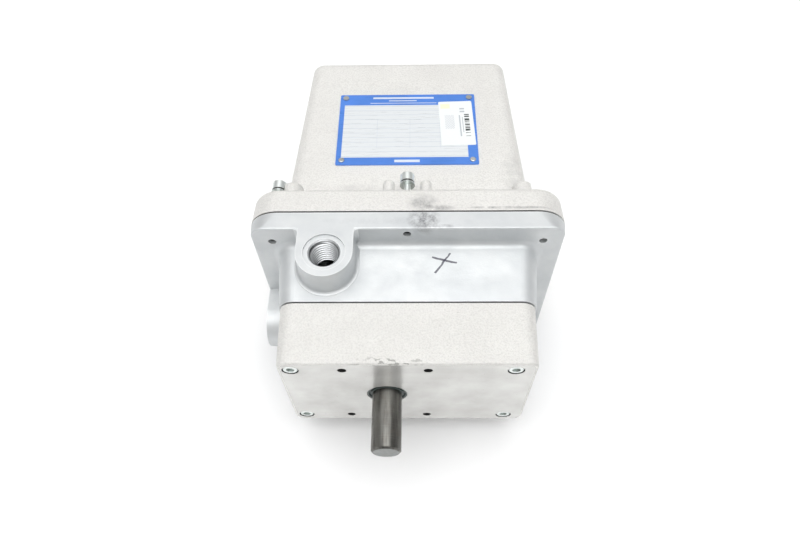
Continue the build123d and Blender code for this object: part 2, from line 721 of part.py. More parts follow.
def cam(front, lobe_centre):
    """Limit cam with one raised lobe and a hub behind it."""
    bar(front, front + cam_width, cam_base_radius)
    bar(front + cam_width, front + cam_width + cam_hub_length, cam_hub_radius)
    spread = [math.radians(lobe_centre + step) for step in (-50, -25, 0, 25, 50)]
    rim = [(30 * math.cos(angle), 30 * math.sin(angle)) for angle in spread]
    with BuildSketch(facing_front(front)) as lobe:
        Circle(cam_lobe_radius)
        Polygon(*([(0, 0)] + rim), align=None, mode=Mode.INTERSECT)
    extrude(lobe.sketch, amount=-cam_width)
    bar(front, front + cam_width + cam_hub_length, shaft_cam_radius + 0.01, mode=Mode.SUBTRACT)
    with Locations((6.5, front + cam_width + cam_hub_length / 2, 0)):
        Cylinder(set_screw_radius + 0.03, 3.4, rotation=(0, 90, 0), mode=Mode.SUBTRACT)


with BuildPart() as close_cam:
    cam(cam_fronts[0], 90)
save(close_cam, "close_cam")

with BuildPart() as open_cam:
    cam(cam_fronts[1], 180)
save(open_cam, "open_cam")

with BuildPart() as cam_set_screws:
    screw_depths = [front + cam_width + cam_hub_length / 2 for front in cam_fronts]
    for depth in [pot_gear_y[1] + 2.0] + screw_depths:
        with Locations((6.45, depth, 0)):
            Cylinder(set_screw_radius, 2.8, rotation=(0, 90, 0))
save(cam_set_screws, "cam_set_screws")


# ==== Limit switches ====
def limit_switch(centre_y):
    """Snap-action switch body with mounting holes, hinge lugs and plunger."""
    half_y = switch_size[1] / 2
    top = switch_bottom + switch_size[2]
    block(switch_x, (centre_y - half_y, centre_y + half_y), (switch_bottom, top))
    for point in switch_holes:
        bar(centre_y - half_y, centre_y + half_y, switch_screw_radius + 0.05, point, Mode.SUBTRACT)
    for offset in (-2.9, 2.9):
        lug_y = (centre_y + offset - 0.4, centre_y + offset + 0.4)
        block((lever_pivot[0] - 1.6, lever_pivot[0] + 1.6), lug_y, (lever_pivot[1] - 1.4, switch_bottom + 0.5))
        bar(lug_y[0], lug_y[1], 0.65, lever_pivot, Mode.SUBTRACT)
    block((-3.2, -0.8), (centre_y - 1.2, centre_y + 1.2), (switch_bottom - 0.7, switch_bottom + 0.5))


def switch_lever(centre_y):
    """Leaf lever on its own hinge pin, carrying a roller between two ears."""
    leaf_z = (lever_pivot[1] - 0.9, lever_pivot[1] - 0.4)
    block((lever_pivot[0] - 0.5, roller_centre[0] + 2.5), (centre_y - 2.2, centre_y + 2.2), leaf_z)
    bar(centre_y - 2.2, centre_y + 2.2, 1.0, lever_pivot)
    bar(centre_y - 3.2, centre_y + 3.2, 0.6, lever_pivot)
    for offset in (-1.95, 1.95):
        ear_y = (centre_y + offset - 0.25, centre_y + offset + 0.25)
        block((roller_centre[0] - 1.3, roller_centre[0] + 1.3), ear_y, (roller_centre[1] - 1.0, leaf_z[1]))
    bar(centre_y - 2.5, centre_y + 2.5, 0.6, roller_centre)
    bar(centre_y - 1.7, centre_y + 1.7, roller_radius, roller_centre)


switch_centres = [front + cam_width / 2 for front in cam_fronts]
switch_x = (-14.0, -14.0 + switch_size[0])
switch_middle = ((switch_x[0] + switch_x[1]) / 2, switch_bottom + switch_size[2] / 2)
switch_holes = [
    (switch_middle[0] - switch_hole_offset[0], switch_middle[1] - switch_hole_offset[1]),
    (switch_middle[0] + switch_hole_offset[0], switch_middle[1] + switch_hole_offset[1]),
]
switch_stack = (switch_centres[0] - switch_size[1] / 2, switch_centres[1] + switch_size[1] / 2)

with BuildPart() as close_switch:
    limit_switch(switch_centres[0])
save(close_switch, "close_switch")

with BuildPart() as open_switch:
    limit_switch(switch_centres[1])
save(open_switch, "open_switch")

with BuildPart() as close_lever:
    switch_lever(switch_centres[0])
save(close_lever, "close_lever")

with BuildPart() as open_lever:
    switch_lever(switch_centres[1])
save(open_lever, "open_lever")

with BuildPart() as switch_terminals:
    for centre_y in switch_centres:
        for x in (-9.5, 0.0, 9.5):
            top = switch_bottom + switch_size[2]
            block((x - 0.4, x + 0.4), (centre_y - 2.4, centre_y + 2.4), (top, top + 6.3))
save(switch_terminals, "switch_terminals")

with BuildPart() as switch_bracket:
    plate_back = switch_stack[0] - 0.1
    plate_y = (plate_back - 1.5, plate_back)
    block((-14, 14), plate_y, (switch_bottom - 1, 42.0))
    block((-14, 14), (web_back, plate_back), (40.5, 42.0))
    block((-14, 14), (web_back, web_back + 1.5), (28.0, 42.0))
    for point in switch_holes:
        bar(plate_y[0], plate_y[1], switch_screw_radius + 0.05, point, Mode.SUBTRACT)
    for point in switch_bracket_points:
        bar(web_back, web_back + 1.5, pan_screw_radius + 0.1, point, Mode.SUBTRACT)
save(switch_bracket, "switch_bracket")

with BuildPart() as switch_screws:
    for point in switch_holes:
        bar(switch_stack[0] - 2.9, switch_stack[1] + 0.1, switch_screw_radius, point)
        bar(switch_stack[1] + 0.02, switch_stack[1] + 2.2, 2.7, point)
        hexagon(switch_stack[0] - 4.0, switch_stack[0] - 1.7, 5.0, point)
        slot_y = (switch_stack[1] + 1.4, switch_stack[1] + 2.3)
        block((point[0] - 3, point[0] + 3), slot_y, (point[1] - 0.35, point[1] + 0.35), Mode.SUBTRACT)
save(switch_screws, "switch_screws")

# ==== Feedback potentiometer ====
with BuildPart() as pot_gear:
    turn = gap_turn(output_axis, pot_axis, pot_teeth)
    gear(pot_gear_y, pot_axis, pot_teeth, pot_module, wheel_addendum, turn)
    bar(pot_gear_y[0], pot_gear_y[1], pot_shaft_radius + 0.01, pot_axis, Mode.SUBTRACT)
save(pot_gear, "pot_gear")

with BuildPart() as pot_shaft:
    bar(pot_gear_y[0] - 0.8, 69.5, pot_shaft_radius, pot_axis)
save(pot_shaft, "pot_shaft")

with BuildPart() as potentiometer:
    bar(pot_bracket_front - 2.3, pot_bracket_front + 1.6, 4.7, pot_axis)
    bar(pot_bracket_front + 1.6, 76.0, pot_body_radius, pot_axis)
    chamfer(potentiometer.edges().group_by(Axis.Y)[-1], 0.8)
    for offset in (-5.0, 0.0, 5.0):
        tab_x = (pot_axis[0] + offset - 1.2, pot_axis[0] + offset + 1.2)
        block(tab_x, (67.0, 67.8), (-16.0, -9.0))
    bar(pot_bracket_front - 2.3, 70.0, pot_shaft_radius + running_gap, pot_axis, Mode.SUBTRACT)
save(potentiometer, "potentiometer")

with BuildPart() as pot_bracket:
    pot_plate_y = (pot_bracket_front, pot_bracket_front + 1.5)
    block((-40, -14.3), pot_plate_y, (-12, 12))
    block((-40, -38.5), (web_back, pot_plate_y[1]), (-12, 12))
    block((-53, -38.5), (web_back, web_back + 1.5), (-12, 12))
    bar(pot_plate_y[0], pot_plate_y[1], 4.75, pot_axis, Mode.SUBTRACT)
    for point in pot_bracket_points:
        bar(web_back, web_back + 1.5, pan_screw_radius + 0.1, point, Mode.SUBTRACT)
save(pot_bracket, "pot_bracket")

with BuildPart() as pot_nut:
    hexagon(pot_bracket_front - 2.0, pot_bracket_front - 0.02, 12.0, pot_axis)
    bar(pot_bracket_front - 2.0, pot_bracket_front, 4.72, pot_axis, Mode.SUBTRACT)
save(pot_nut, "pot_nut")

# ==== Chassis plate with terminal strip and capacitor ====
plate_back = plate_front + plate_thickness

with BuildPart() as chassis_plate:
    block(plate_x, (plate_front, plate_back), (-plate_half_z, plate_half_z))
    fillet(chassis_plate.edges().filter_by(Axis.Y), 4.0)
    bar(plate_front, plate_back, motor_radius + 2.5, motor_axis, Mode.SUBTRACT)
    for point in standoff_points + plate_screw_points:
        bar(plate_front, plate_back, pan_screw_radius + 0.1, point, Mode.SUBTRACT)
save(chassis_plate, "chassis_plate")

with BuildPart() as chassis_standoffs:
    for point in standoff_points:
        hexagon(web_back, plate_front, 7.0, point)
        bar(web_front + 0.5, web_back, pan_screw_radius, point)
        bar(plate_front - 8, plate_front, pan_screw_radius + 0.05, point, Mode.SUBTRACT)
save(chassis_standoffs, "chassis_standoffs")


def pan_screw(seat, point, length):
    """Cross-recessed pan-head screw driven towards -Y onto a seat."""
    bar(seat - length, seat, pan_screw_radius, point)
    bar(seat + 0.02, seat + 2.4, 3.9, point)
    bar(seat - 0.5, seat + 0.5, pan_screw_radius, point)
    block((point[0] - 2.1, point[0] + 2.1), (seat + 1.3, seat + 2.5), (point[1] - 0.4, point[1] + 0.4), Mode.SUBTRACT)
    block((point[0] - 0.4, point[0] + 0.4), (seat + 1.3, seat + 2.5), (point[1] - 2.1, point[1] + 2.1), Mode.SUBTRACT)


with BuildPart() as pan_screws:
    for point in standoff_points:
        pan_screw(plate_back, point, 7.0)
    for point in switch_bracket_points + pot_bracket_points:
        pan_screw(web_back + 1.5, point, 6.5)
    for point in terminal_strip_points:
        pan_screw(terminal_base_back, point, 9.5)
    pan_screw(plate_back + 1.5, clamp_point, 3.2)
    pan_screw(web_back + 0.02, ground_point, 5.0)
save(pan_screws, "pan_screws")

with BuildPart() as terminal_strip:
    strip_half = terminal_strip_length / 2
    strip_x = (terminal_strip_x - 11, terminal_strip_x + 11)
    block(strip_x, (plate_back, terminal_base_back), (-strip_half, strip_half))
    for index in range(terminal_count + 1):
        rib_z = (index - terminal_count / 2) * terminal_pitch
        block(strip_x, (terminal_base_back, terminal_base_back + 6), (rib_z - 0.7, rib_z + 0.7))
    block(
        (terminal_strip_x - 1.2, terminal_strip_x + 1.2),
        (terminal_base_back, terminal_base_back + 6),
        (-terminal_count / 2 * terminal_pitch, terminal_count / 2 * terminal_pitch),
    )
    for point in terminal_strip_points:
        bar(plate_back, terminal_base_back, pan_screw_radius + 0.1, point, Mode.SUBTRACT)
    for point in terminal_points:
        bar(plate_back + 1, terminal_base_back, 1.6, point, Mode.SUBTRACT)
save(terminal_strip, "terminal_strip")

with BuildPart() as terminal_screws:
    for point in terminal_points:
        bar(plate_back + 2, terminal_base_back + 0.3, 1.55, point)
        bar(terminal_base_back + 0.02, terminal_base_back + terminal_head, 3.0, point)
        slot_y = (terminal_base_back + terminal_head - 0.8, terminal_base_back + terminal_head + 0.1)
        block((point[0] - 3.2, point[0] + 3.2), slot_y, (point[1] - 0.4, point[1] + 0.4), Mode.SUBTRACT)
save(terminal_screws, "terminal_screws")

with BuildPart() as capacitor:
    bar(plate_back + 0.02, capacitor_back, capacitor_radius, capacitor_axis)
    fillet(capacitor.edges().filter_by(GeomType.CIRCLE), 1.5)
    for offset in (0, 1):
        tab_z = capacitor_tab_z[offset]
        tab_x = (capacitor_axis[0] - 4.5, capacitor_axis[0] - 3.5)
        block(tab_x, (capacitor_back - 1, capacitor_back + 7), (tab_z - 2.4, tab_z + 2.4))
save(capacitor, "capacitor")

with BuildPart() as capacitor_clamp:
    ring(118.0, 128.0, capacitor_radius + 0.03, capacitor_radius + 1.4, capacitor_axis)
    clamp_bottom = capacitor_axis[1] - capacitor_radius - 1.4
    clamp_x = (capacitor_axis[0] - 6, capacitor_axis[0] + 6)
    block(clamp_x, (plate_back, 128.0), (clamp_bottom, clamp_bottom + 1.2))
    bar(plate_back, 128.0, capacitor_radius + 0.03, capacitor_axis, Mode.SUBTRACT)
    block(clamp_x, (plate_back, plate_back + 1.5), (clamp_point[1] - 5, clamp_bottom + 1.0))
    bar(plate_back, plate_back + 1.5, pan_screw_radius + 0.1, clamp_point, Mode.SUBTRACT)
save(capacitor_clamp, "capacitor_clamp")


# ==== Internal leads ====
def lead(points, bend, radius):
    """Insulated lead along straight runs joined by arcs."""
    with BuildLine() as route:
        FilletPolyline(*points, radius=bend)
    start = Plane(origin=points[0], z_dir=Vector(*points[1]) - Vector(*points[0]))
    with BuildSketch(start) as section:
        Circle(radius)
    sweep(section.sketch, path=route.wires()[0])


terminal_top = terminal_base_back + terminal_head

with BuildPart() as motor_leads:
    for z in motor_lead_z:
        right = motor_axis[0] - 10
        lead([(right, motor_back, z), (right, 144, z), (lead_x, 144, z), (lead_x, terminal_top, z)], 10, lead_radius)
save(motor_leads, "motor_leads")

with BuildPart() as capacitor_leads:
    for z in capacitor_tab_z:
        tab_x = capacitor_axis[0] - 4
        tab_y = capacitor_back + 7
        lead([(tab_x, tab_y, z), (tab_x, 192, z), (lead_x, 192, z), (lead_x, terminal_top, z)], 10, lead_radius)
save(capacitor_leads, "capacitor_leads")

# ==== Nameplate, its drive pins and a paper label, lying on the cover's sloping top ====
slope_drop = cover_box_front_half[1] - cover_box_back_half[1]
slope_run = cover_back - (cover_flange_back - 1)
slope_angle = math.atan2(slope_drop, slope_run)


def top_plane(x, y, lift):
    """Plane on the cover's top at a point, raised by lift, with local y running back."""
    height = cover_box_front_half[1] - (y - (cover_flange_back - 1)) * slope_drop / slope_run
    normal = (0, math.sin(slope_angle), math.cos(slope_angle))
    base = Plane(origin=(x, y, height), x_dir=(1, 0, 0), z_dir=normal)
    return base.offset(lift)


nameplate_y = nameplate_front + nameplate_length / 2

with BuildPart() as nameplate:
    with BuildSketch(top_plane(nameplate_x, nameplate_y, 0.02)):
        RectangleRounded(plate_width, nameplate_length, 1.0)
        with Locations(*pin_offsets):
            Circle(1.25, mode=Mode.SUBTRACT)
    extrude(amount=nameplate_thickness)
save(nameplate, "nameplate")

with BuildPart() as nameplate_pins:
    with BuildSketch(top_plane(nameplate_x, nameplate_y, 0.03 + nameplate_thickness)):
        with Locations(*pin_offsets):
            Circle(2.2)
    extrude(amount=0.9)
    fillet(nameplate_pins.faces().filter_by(lambda face: face.area > 10).group_by(Axis.Z)[-1].edges(), 0.7)
save(nameplate_pins, "nameplate_pins")

with BuildPart() as stock_label:
    with BuildSketch(top_plane(label_centre[0], label_centre[1], 0.04 + nameplate_thickness)):
        with Locations(Location((0, 0), label_turn)):
            RectangleRounded(label_size[0], label_size[1], 1.0)
    extrude(amount=0.2)
save(stock_label, "stock_label")
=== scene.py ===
import math
from collections import namedtuple

import bpy
from mathutils import Matrix, Vector


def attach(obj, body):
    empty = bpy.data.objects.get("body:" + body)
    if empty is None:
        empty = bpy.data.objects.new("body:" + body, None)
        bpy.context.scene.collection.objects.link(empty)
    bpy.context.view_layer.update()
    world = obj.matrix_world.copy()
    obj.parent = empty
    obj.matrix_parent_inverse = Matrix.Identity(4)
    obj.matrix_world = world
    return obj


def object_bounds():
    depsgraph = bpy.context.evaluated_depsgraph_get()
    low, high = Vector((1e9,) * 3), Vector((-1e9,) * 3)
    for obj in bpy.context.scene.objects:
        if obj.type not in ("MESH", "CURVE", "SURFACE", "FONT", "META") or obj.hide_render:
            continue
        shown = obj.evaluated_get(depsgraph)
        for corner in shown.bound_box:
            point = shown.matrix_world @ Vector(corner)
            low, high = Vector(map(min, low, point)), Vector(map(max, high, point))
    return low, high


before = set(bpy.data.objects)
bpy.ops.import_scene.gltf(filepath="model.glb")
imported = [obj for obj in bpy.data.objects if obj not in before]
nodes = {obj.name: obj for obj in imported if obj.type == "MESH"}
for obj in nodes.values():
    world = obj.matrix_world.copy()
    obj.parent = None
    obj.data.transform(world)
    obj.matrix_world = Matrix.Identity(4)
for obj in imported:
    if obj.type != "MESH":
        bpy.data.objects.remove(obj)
cad_low, cad_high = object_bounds()

MM = 0.001

# ---- Driving places and sizes, in millimetres in the CAD frame ----
CONDUIT_TOP = (-37.8, 64.8)
CONDUIT_TOP_MOUTH = 68.4
CONDUIT_SIDE = (64.8, -22.5)
CONDUIT_SIDE_MOUTH = -85.0
BOSS_RADIUS = 17.8
BOSS_FOOT_RADIUS = 18.0
FLANGE_FRONT = 81.6
# Depth and height of the main housing's upper face, at its front and back ends.
MAIN_TOP = ((40.6, 50.3), (82.6, 53.3))
COVE_RADIUS = 2.6
# Half spacings in X and Z of the two hole patterns in the front face.
MOUNTING_HOLES = (26.1, 37.5)
CAP_SCREW_CENTRE = 10.8
CAP_SCREWS = (68.2, 37.6)
NAMEPLATE_CENTRE = (12.8, 187.4)
FIELD_X = (-47.2, 43.6)
FIELD_Y = (-29.2, 24.7)
LABEL_CENTRE = (49.3, 192.4)
LABEL_TURN = math.radians(2.0)

Thread = namedtuple("Thread", "bore root depth taper pitch length lightness segments")
# The second-last field scales the thread colour: 1 for the conduits, while 0.25 paints shade into the small
# mounting holes.
CONDUIT_THREAD = Thread(10.3, 9.3, 1.1, 0.045, 2.209, 21.5, 1.0, 96)
MOUNTING_THREAD = Thread(2.65, 2.6, 0.35, 0.0, 1.27, 12.0, 0.25, 40)
MOUNTING_THREAD_MOUTH = 1.4

# ---- Marks on the castings, in millimetres in the CAD frame ----
# Rubbed smudges: centre, reach and strength.
COVER_SMUDGES = (
    ((23, 102, 70), (9, 6.5, 9), 0.50),
    ((32, 98, 70), (10, 2.2, 9), 0.60),
    ((78, 98.0, 70), (26, 1.0, 4), 0.65),
    ((86, 146, 50), (7, 14, 30), 0.16),
    ((90, 131, 48), (8, 5, 20), 0.20),
    ((-20, 130, 51), (14, 3, 8), 0.18),
)
FLANGE_SMUDGES = (
    ((24, 89, 70), (8.5, 7.5, 10), 0.72),
    ((35, 83.5, 70), (12, 1.3, 10), 0.45),
    ((0, 88, 70), (34, 2.5, 10), 0.10),
)
MARKER_CROSS = (((29.2, 71.9), (45.0, 67.9)), ((41.0, 74.6), (31.3, 60.0)))

# ---- Colours, linear ----
CAST = (0.82, 0.812, 0.785)
CAST_DARK = (0.775, 0.765, 0.74)
# Painted light: the cover's casting colours are scaled up so that it looks more brightly lit than the gear
# housing.
COVER_PAINTED_LIGHT = 1.03
BRIGHT = (0.685, 0.70, 0.703)
BRIGHT_DARK = (0.61, 0.63, 0.64)
GRIME = (0.16, 0.16, 0.17)
BLUE = (0.08, 0.225, 0.66)
RULE = (0.50, 0.56, 0.64)

# ---- Studio and camera ----
SOFTBOX_DIRECTION = (0.0, -0.05, 0.9987)
SOFTBOX_EDGE = (0.70, 0.95)
SOFTBOX = 3.0
SURROUND = 0.40
AREA_PLACE = (0.1, -0.3, 1.6)
AREA_SIZE = (0.9, 0.7)
AREA_POWER = 0.8
FLOOR_REACH = 40.0
CAMERA_PLACE = (0.01865, -0.16505, 0.41735)
CAMERA_ANGLES = (-2.465, 57.772, -2.253)
CAMERA_LENS = 30.6


# ==== Node building ====
class Look:
    """A material under construction: one Principled shader and short names for the nodes around it."""

    def __init__(self, name, metallic=0.0, specular=None):
        self.material = bpy.data.materials.new(name)
        self.material.use_nodes = True
        self.tree = self.material.node_tree
        self.shader = self.tree.nodes["Principled BSDF"]
        self.shader.inputs["Metallic"].default_value = metallic
        if specular is not None:
            self.shader.inputs["Specular IOR Level"].default_value = specular
        self.place = self.add("ShaderNodeTexCoord").outputs["Object"]

    def add(self, kind, **settings):
        node = self.tree.nodes.new(kind)
        for key, value in settings.items():
            setattr(node, key, value)
        return node

    def feed(self, socket, value):
        """Link an output into a socket, or set the socket to a constant."""
        if isinstance(value, bpy.types.NodeSocket):
            self.tree.links.new(value, socket)
        elif isinstance(value, (tuple, list)) and len(value) == 3 and socket.type == "RGBA":
            socket.default_value = (*value, 1.0)
        else:
            socket.default_value = value

    def math(self, operation, a, b=0.0):
        node = self.add("ShaderNodeMath", operation=operation)
        self.feed(node.inputs[0], a)
        self.feed(node.inputs[1], b)
        return node.outputs[0]

    def times(self, a, b):
        return self.math("MULTIPLY", a, b)

    def split(self, vector=None):
        node = self.add("ShaderNodeSeparateXYZ")
        self.feed(node.inputs[0], self.place if vector is None else vector)
        return node.outputs

    def noise(self, size_mm, detail=3.0, roughness=0.5, stretch=None):
        """Noise from 0 to 1 with features of about that size; stretch scales it along X, Y, Z."""
        node = self.add("ShaderNodeTexNoise")
        source = self.place
        if stretch is not None:
            mapping = self.add("ShaderNodeMapping")
            self.feed(mapping.inputs["Vector"], source)
            mapping.inputs["Scale"].default_value = stretch
            source = mapping.outputs[0]
        self.feed(node.inputs["Vector"], source)
        node.inputs["Scale"].default_value = 1000.0 / size_mm
        node.inputs["Detail"].default_value = detail
        node.inputs["Roughness"].default_value = roughness
        return node.outputs["Fac"]

    def cells(self, size_mm):
        node = self.add("ShaderNodeTexVoronoi", feature="F1")
        self.feed(node.inputs["Vector"], self.place)
        node.inputs["Scale"].default_value = 1000.0 / size_mm
        return node.outputs["Distance"]

    def ramp(self, value, low, high, to_low=0.0, to_high=1.0):
        """Map low..high onto to_low..to_high, clamped."""
        node = self.add("ShaderNodeMapRange", clamp=True)
        self.feed(node.inputs["Value"], value)
        self.feed(node.inputs["From Min"], low)
        self.feed(node.inputs["From Max"], high)
        self.feed(node.inputs["To Min"], to_low)
        self.feed(node.inputs["To Max"], to_high)
        return node.outputs[0]

    def turned(self, centre, turn):
        """X and Y outputs of a frame centred on an X-Y point in millimetres and turned about Z."""
        mapping = self.add("ShaderNodeMapping", vector_type="TEXTURE")
        self.feed(mapping.inputs["Vector"], self.place)
        mapping.inputs["Location"].default_value = (centre[0] * MM, centre[1] * MM, 0)
        mapping.inputs["Rotation"].default_value = (0, 0, turn)
        return self.split(mapping.outputs[0])[:2]

    def mix(self, factor, a, b):
        """Colour a to b by factor."""
        node = self.add("ShaderNodeMix", data_type="RGBA")
        self.feed(node.inputs["Factor"], factor)
        self.feed(node.inputs[6], a)
        self.feed(node.inputs[7], b)
        return node.outputs[2]

    def blend(self, factor, a, b):
        """Number a to b by factor."""
        node = self.add("ShaderNodeMix", data_type="FLOAT")
        self.feed(node.inputs[0], factor)
        self.feed(node.inputs[2], a)
        self.feed(node.inputs[3], b)
        return node.outputs[0]

    def bump(self, height, depth_mm, strength=1.0, under=None):
        node = self.add("ShaderNodeBump")
        node.inputs["Distance"].default_value = depth_mm * MM
        self.feed(node.inputs["Strength"], strength)
        self.feed(node.inputs["Height"], height)
        if under is not None:
            self.feed(node.inputs["Normal"], under)
        return node.outputs[0]

    def edge_highlight(self, radius_mm):
        """1 at convex and concave edges, 0 on flats; used to paint highlights on edges."""
        bevel = self.add("ShaderNodeBevel", samples=6)
        bevel.inputs["Radius"].default_value = radius_mm * MM
        flat = self.add("ShaderNodeNewGeometry").outputs["Normal"]
        dot = self.add("ShaderNodeVectorMath", operation="DOT_PRODUCT")
        self.feed(dot.inputs[0], bevel.outputs[0])
        self.feed(dot.inputs[1], flat)
        return self.ramp(dot.outputs["Value"], 0.995, 0.9)

    def between(self, value, low, high, soft):
        """1 where value lies between low and high, with soft edges, all in metres."""
        rise = self.ramp(value, low - soft, low + soft)
        fall = self.ramp(value, high - soft, high + soft, 1.0, 0.0)
        return self.times(rise, fall)

    def window(self, x, y, x_span, y_span, soft_mm):
        """1 inside a rectangle, with soft edges; spans in millimetres."""
        inside_x = self.between(x, x_span[0] * MM, x_span[1] * MM, soft_mm * MM)
        inside_y = self.between(y, y_span[0] * MM, y_span[1] * MM, soft_mm * MM)
        return self.times(inside_x, inside_y)

    def finish(self, colour, roughness, normal=None):
        self.feed(self.shader.inputs["Base Color"], colour)
        self.feed(self.shader.inputs["Roughness"], roughness)
        if normal is not None:
            self.feed(self.shader.inputs["Normal"], normal)
        return self.material


def dress(material, *names):
    """Give CAD nodes a material."""
    for name in names:
        mesh = nodes[name].data
        if not mesh.materials:
            mesh.materials.append(material)
        for slot in nodes[name].material_slots:
            slot.material = material


# ==== Metals ====
def sand_cast(name, painted_light=1.0):
    """Sand-blasted casting with grain, pits and clouds of tone: the look, its colour, roughness and height.
    Its second argument scales both tones up to paint on more light.
    """
    look = Look(name, metallic=0.45)
    grain = look.noise(1.1, detail=4.0, roughness=0.65)
    pits = look.cells(2.3)
    cloud = look.noise(38, detail=5.0, roughness=0.6)
    fine = look.noise(0.45, detail=2.0)
    light, dark = (tuple(channel * painted_light for channel in tone) for tone in (CAST, CAST_DARK))
    colour = look.mix(look.ramp(cloud, 0.35, 0.7), dark, light)
    colour = look.mix(look.ramp(grain, 0.36, 0.56, 0.35, 0.0), colour, (0.52, 0.51, 0.49))
    rough = look.ramp(grain, 0.3, 0.7, 0.50, 0.66)
    height = look.math("ADD", grain, look.times(fine, 0.35))
    height = look.math("SUBTRACT", height, look.ramp(pits, 0.0, 0.22, 0.35, 0.0))
    return look, colour, rough, height


def stroke(look, start, end, half_width, wobble):
    """Mask of a marker stroke between two X-Y points, in millimetres; wobble varies its line and width."""
    middle = ((start[0] + end[0]) / 2, (start[1] + end[1]) / 2)
    length = math.dist(start, end)
    turn = math.atan2(end[1] - start[1], end[0] - start[0])
    x, y = look.turned(middle, turn)
    bend = look.ramp(wobble, 0.2, 0.8, -0.9 * MM, 0.9 * MM)
    across = look.math("ABSOLUTE", look.math("ADD", y, bend))
    thickness = look.ramp(wobble, 0.3, 0.7, half_width * 0.6 * MM, half_width * 1.25 * MM)
    inside = look.math("LESS_THAN", across, thickness)
    along = look.math("LESS_THAN", look.math("ABSOLUTE", x), length / 2 * MM)
    return look.times(inside, along)


def patch(look, centre, half):
    """Very soft ellipsoid mask around a point, in millimetres."""
    total = None
    for value, place, reach in zip(look.split(), centre, half):
        offset = look.math("DIVIDE", look.math("SUBTRACT", value, place * MM), reach * MM)
        square = look.times(offset, offset)
        total = square if total is None else look.math("ADD", total, square)
    return look.ramp(total, 0.2, 1.8, 1.0, 0.0)


def rubbed(look, colour, spots):
    """Rubbed-on grime in soft patches, each a centre and reach in millimetres and a strength."""
    blots = look.ramp(look.noise(5.5, detail=3.0), 0.34, 0.58)
    grain = look.ramp(look.noise(1.1, detail=3.0, roughness=0.6), 0.35, 0.60, 0.45, 1.0)
    texture = look.times(blots, grain)
    for centre, half, level in spots:
        mask = look.times(patch(look, centre, half), texture)
        colour = look.mix(look.times(mask, level), colour, GRIME)
    return colour


def screw_hole_shade(look, centre_x, spacing, radius):
    """Mask of four round holes behind the face, at plus or minus spacing in X and Z from (centre_x, 0), where
    shade is painted on the hole walls.
    """
    x, y, z = look.split()
    sideways = look.math("ABSOLUTE", look.math("SUBTRACT", x, centre_x * MM))
    across = look.math("SUBTRACT", sideways, spacing[0] * MM)
    upward = look.math("SUBTRACT", look.math("ABSOLUTE", z), spacing[1] * MM)
    square = look.math("ADD", look.times(across, across), look.times(upward, upward))
    inside = look.math("LESS_THAN", square, (radius * MM) ** 2)
    return look.times(inside, look.math("GREATER_THAN", y, 0.12 * MM))


def gear_housing_look():
    """Sand casting with a milled, stained mounting face, scuffs on the top edge and painted shade in the screw
    holes and recesses.
    """
    look, colour, rough, height = sand_cast("sand_cast_gear_housing")
    _, y, _ = look.split()
    machined = look.math("LESS_THAN", y, 0.05 * MM)
    stain = look.noise(24, detail=5.0, roughness=0.5)
    speck = look.ramp(look.noise(1.6, detail=2.0), 0.70, 0.74)
    scratch = look.ramp(look.noise(9, detail=3.0, stretch=(0.12, 1, 2.2)), 0.60, 0.72, 0.0, 0.35)
    face = look.mix(look.ramp(stain, 0.35, 0.68), (0.62, 0.615, 0.59), (0.77, 0.765, 0.745))
    face = look.mix(look.times(speck, 0.5), face, (0.30, 0.29, 0.27))
    face = look.mix(scratch, face, (0.62, 0.61, 0.58))
    face_rough = look.ramp(stain, 0.3, 0.7, 0.17, 0.27)
    mill = look.noise(0.7, detail=2.0, stretch=(0.08, 1, 1))
    rub = look.ramp(look.noise(1.5, detail=3.0, stretch=(0.35, 1, 1)), 0.56, 0.60, 0.0, 0.75)
    scuff = look.times(patch(look, (4, 1.0, 46), (24, 3.4, 4)), rub)
    colour = look.mix(scuff, colour, (0.30, 0.30, 0.28))
    colour = look.mix(machined, colour, face)
    # Painted shade: the walls of the mounting holes and the cap-screw recesses are near-black.
    for centre_x, spacing, radius in ((0.0, MOUNTING_HOLES, 3.1), (CAP_SCREW_CENTRE, CAP_SCREWS, 5.5)):
        hole_wall_shade = screw_hole_shade(look, centre_x, spacing, radius)
        colour = look.mix(hole_wall_shade, colour, (0.045, 0.045, 0.045))
    rough = look.blend(machined, rough, face_rough)
    cast_normal = look.bump(height, 0.55, look.math("SUBTRACT", 1.0, machined))
    normal = look.bump(mill, 0.004, machined, cast_normal)
    return look.finish(colour, rough, normal)


def cover_look():
    look, colour, rough, height = sand_cast("sand_cast_cover", COVER_PAINTED_LIGHT)
    colour = rubbed(look, colour, COVER_SMUDGES)
    return look.finish(colour, rough, look.bump(height, 0.42))


def main_housing_look():
    """Smooth bright casting with painted highlights on its edges, a marker cross and rubbed smudges."""
    look = Look("bright_casting", metallic=0.72)
    _, y, z = look.split()
    cloud = look.noise(30, detail=5.0, roughness=0.6)
    flow = look.noise(11, detail=3.0)
    grain = look.noise(0.8, detail=3.0)
    colour = look.mix(look.ramp(cloud, 0.35, 0.68), BRIGHT_DARK, BRIGHT)
    colour = look.mix(look.ramp(flow, 0.58, 0.75, 0.0, 0.15), colour, (0.60, 0.62, 0.66))
    rough = look.ramp(flow, 0.3, 0.7, 0.52, 0.62)
    height = look.math("ADD", look.times(flow, 1.4), look.times(grain, 0.35))
    # Painted highlight: convex and concave edges are lightened.
    edges = look.edge_highlight(1.2)
    colour = look.mix(look.times(edges, 0.5), colour, (0.88, 0.89, 0.89))
    colour = rubbed(look, colour, FLANGE_SMUDGES)
    on_top = look.times(look.math("GREATER_THAN", z, 40 * MM), look.math("LESS_THAN", y, 79 * MM))
    for start, end in MARKER_CROSS:
        mark = look.times(stroke(look, start, end, 0.58, look.noise(9)), on_top)
        colour = look.mix(look.times(mark, 0.80), colour, (0.05, 0.045, 0.07))
    return look.finish(colour, rough, look.bump(height, 0.16))


